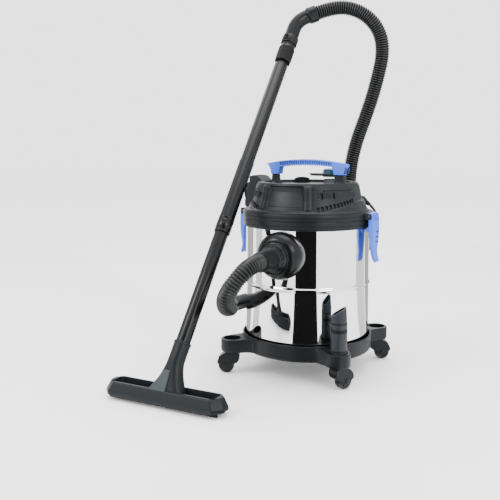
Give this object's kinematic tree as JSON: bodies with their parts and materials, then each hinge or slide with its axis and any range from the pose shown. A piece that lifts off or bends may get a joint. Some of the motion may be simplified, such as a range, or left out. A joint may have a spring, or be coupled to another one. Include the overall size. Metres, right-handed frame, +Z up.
{
  "type": "shop vacuum",
  "caption": "Wet and dry vacuum: polished steel drum on a castered base, clip-on motor head with carry handle, corrugated hose, two-piece wand and wide floor tool.",
  "frame": {"origin": "centre of the bottom of the bounding box of the whole machine on its floor, hose and mains lead left out; the drum's axis is at x 0.061 m, y 0.126 m", "axes": "+Z up, -Y the side the hose leaves the drum, +X the right-hand latch as seen from the hose side"},
  "size_m": [0.4786, 0.737, 0.9191],
  "materials": {
    "polished_stainless": "mirror-polished stainless steel sheet",
    "black_plastic": "fine-textured black moulding",
    "slate_plastic": "dark slate grey satin moulding",
    "gloss_black_plastic": "smooth glossy black moulding",
    "grey_tool_plastic": "satin dark grey moulding",
    "light_grey_plastic": "satin light grey moulding",
    "blue_plastic": "satin-gloss blue moulding",
    "teal_plastic": "smooth teal blue cap",
    "wheel_plastic": "hard black caster tread",
    "black_rubber": "soft matt rubber",
    "hose_plastic": "corrugated flexible black plastic",
    "cord_pvc": "satin black PVC sheath",
    "zinc_steel": "zinc-plated steel",
    "iron_core": "laminated iron with varnished windings",
    "aluminium_sheet": "pressed aluminium sheet",
    "copper_carbon": "brass holder with carbon block",
    "filter_foam": "open-cell filter foam"
  },
  "bodies": {
    "machine": {"base_ring": "black_plastic", "base_screws": "zinc_steel", "drum_shell": "polished_stainless", "drum_rivets": "black_plastic", "drum_collar": "black_plastic", "inlet_fitting": "gloss_black_plastic", "inlet_gasket": "black_rubber", "inlet_nut": "black_plastic", "head_base": "black_plastic", "head_gasket": "black_rubber", "head_cover": "slate_plastic", "blower_port": "black_plastic", "carry_handle": "blue_plastic", "handle_screws": "zinc_steel", "switch_housing": "light_grey_plastic", "latch_pins": "zinc_steel", "motor_housing": "black_plastic", "motor_stator": "iron_core", "motor_bearings": "zinc_steel", "carbon_brushes": "copper_carbon", "motor_seal": "black_rubber", "filter_cage": "black_plastic", "filter_sleeve": "filter_foam", "filter_clamp": "zinc_steel", "lower_tube": "gloss_black_plastic", "upper_tube": "gloss_black_plastic", "grip_handle": "gloss_black_plastic", "floor_tool": "black_plastic", "floor_strips": "black_rubber", "cord_gland": "black_rubber", "hose": "hose_plastic", "power_cord": "cord_pvc", "cord_coil": "cord_pvc", "cord_tie": "black_plastic", "plug": "cord_pvc"},
    "latch_right": {"latch_right": "blue_plastic"},
    "latch_left": {"latch_left": "blue_plastic"},
    "switch_cap": {"switch_button": "teal_plastic"},
    "motor_shaft": {"motor_rotor": "iron_core", "impeller": "aluminium_sheet"},
    "float": {"float_cup": "light_grey_plastic"},
    "hose_swivel": {"hose_cuff": "black_plastic"},
    "bleed_slider": {"suction_slider": "black_plastic"},
    "crevice_nozzle": {"crevice_tool": "grey_tool_plastic"},
    "caster_front_left": {"caster_fork_front_left": "black_plastic", "caster_axle_front_left": "zinc_steel"},
    "wheel_front_left": {"caster_wheel_front_left": "wheel_plastic"},
    "caster_front_right": {"caster_fork_front_right": "black_plastic", "caster_axle_front_right": "zinc_steel"},
    "wheel_front_right": {"caster_wheel_front_right": "wheel_plastic"},
    "caster_rear_right": {"caster_fork_rear_right": "black_plastic", "caster_axle_rear_right": "zinc_steel"},
    "wheel_rear_right": {"caster_wheel_rear_right": "wheel_plastic"},
    "caster_rear_left": {"caster_fork_rear_left": "black_plastic", "caster_axle_rear_left": "zinc_steel"},
    "wheel_rear_left": {"caster_wheel_rear_left": "wheel_plastic"}
  },
  "joints": [
    {"name": "caster_swivel_front_left", "type": "hinge", "parent": "machine", "child": "caster_front_left", "pos_m": [-0.07501, -0.00999, 0.055], "axis": [0, 0, 1], "continuous": true},
    {"name": "wheel_roll_front_left", "type": "hinge", "parent": "caster_front_left", "child": "wheel_front_left", "pos_m": [-0.0877, -0.0159, 0.019], "axis": [0.4226, -0.9063, 0], "continuous": true},
    {"name": "caster_swivel_front_right", "type": "hinge", "parent": "machine", "child": "caster_front_right", "pos_m": [0.19651, -0.00999, 0.055], "axis": [0, 0, 1], "continuous": true},
    {"name": "wheel_roll_front_right", "type": "hinge", "parent": "caster_front_right", "child": "wheel_front_right", "pos_m": [0.20309, 0.00237, 0.019], "axis": [-0.8829, 0.4695, 0], "continuous": true},
    {"name": "caster_swivel_rear_right", "type": "hinge", "parent": "machine", "child": "caster_rear_right", "pos_m": [0.19651, 0.26154, 0.055], "axis": [0, 0, 1], "continuous": true},
    {"name": "wheel_roll_rear_right", "type": "hinge", "parent": "caster_rear_right", "child": "wheel_rear_right", "pos_m": [0.2092, 0.26746, 0.019], "axis": [-0.4226, 0.9063, 0], "continuous": true},
    {"name": "caster_swivel_rear_left", "type": "hinge", "parent": "machine", "child": "caster_rear_left", "pos_m": [-0.07501, 0.26154, 0.055], "axis": [0, 0, 1], "continuous": true},
    {"name": "wheel_roll_rear_left", "type": "hinge", "parent": "caster_rear_left", "child": "wheel_rear_left", "pos_m": [-0.08159, 0.2739, 0.019], "axis": [-0.8829, -0.4695, 0], "continuous": true},
    {"name": "latch_right_hinge", "type": "hinge", "parent": "machine", "child": "latch_right", "pos_m": [0.22575, 0.12578, 0.381], "axis": [0, -1, 0], "range_deg": [0, 100]},
    {"name": "latch_left_hinge", "type": "hinge", "parent": "machine", "child": "latch_left", "pos_m": [-0.10425, 0.12578, 0.381], "axis": [0, 1, 0], "range_deg": [0, 100]},
    {"name": "switch_push", "type": "slide", "parent": "machine", "child": "switch_cap", "axis": [0, 0, -1], "range_m": [0, 0.004], "stiffness_N_per_m": 400, "springref_m": -0.005},
    {"name": "motor_spin", "type": "hinge", "parent": "machine", "child": "motor_shaft", "pos_m": [0.06075, 0.12578, 0.4], "axis": [0, 0, 1], "continuous": true},
    {"name": "float_rise", "type": "slide", "parent": "machine", "child": "float", "axis": [0, 0, 1], "range_m": [0, 0.0455]},
    {"name": "cuff_swivel", "type": "hinge", "parent": "machine", "child": "hose_swivel", "pos_m": [0.06075, -0.07422, 0.295], "axis": [0, -1, 0], "continuous": true},
    {"name": "bleed_slide", "type": "slide", "parent": "machine", "child": "bleed_slider", "axis": [0.0669, 0.5262, 0.8477], "range_m": [0, 0.014]},
    {"name": "crevice_lift", "type": "slide", "parent": "machine", "child": "crevice_nozzle", "axis": [0, 0, 1], "range_m": [0, 0.019]}
  ]
}
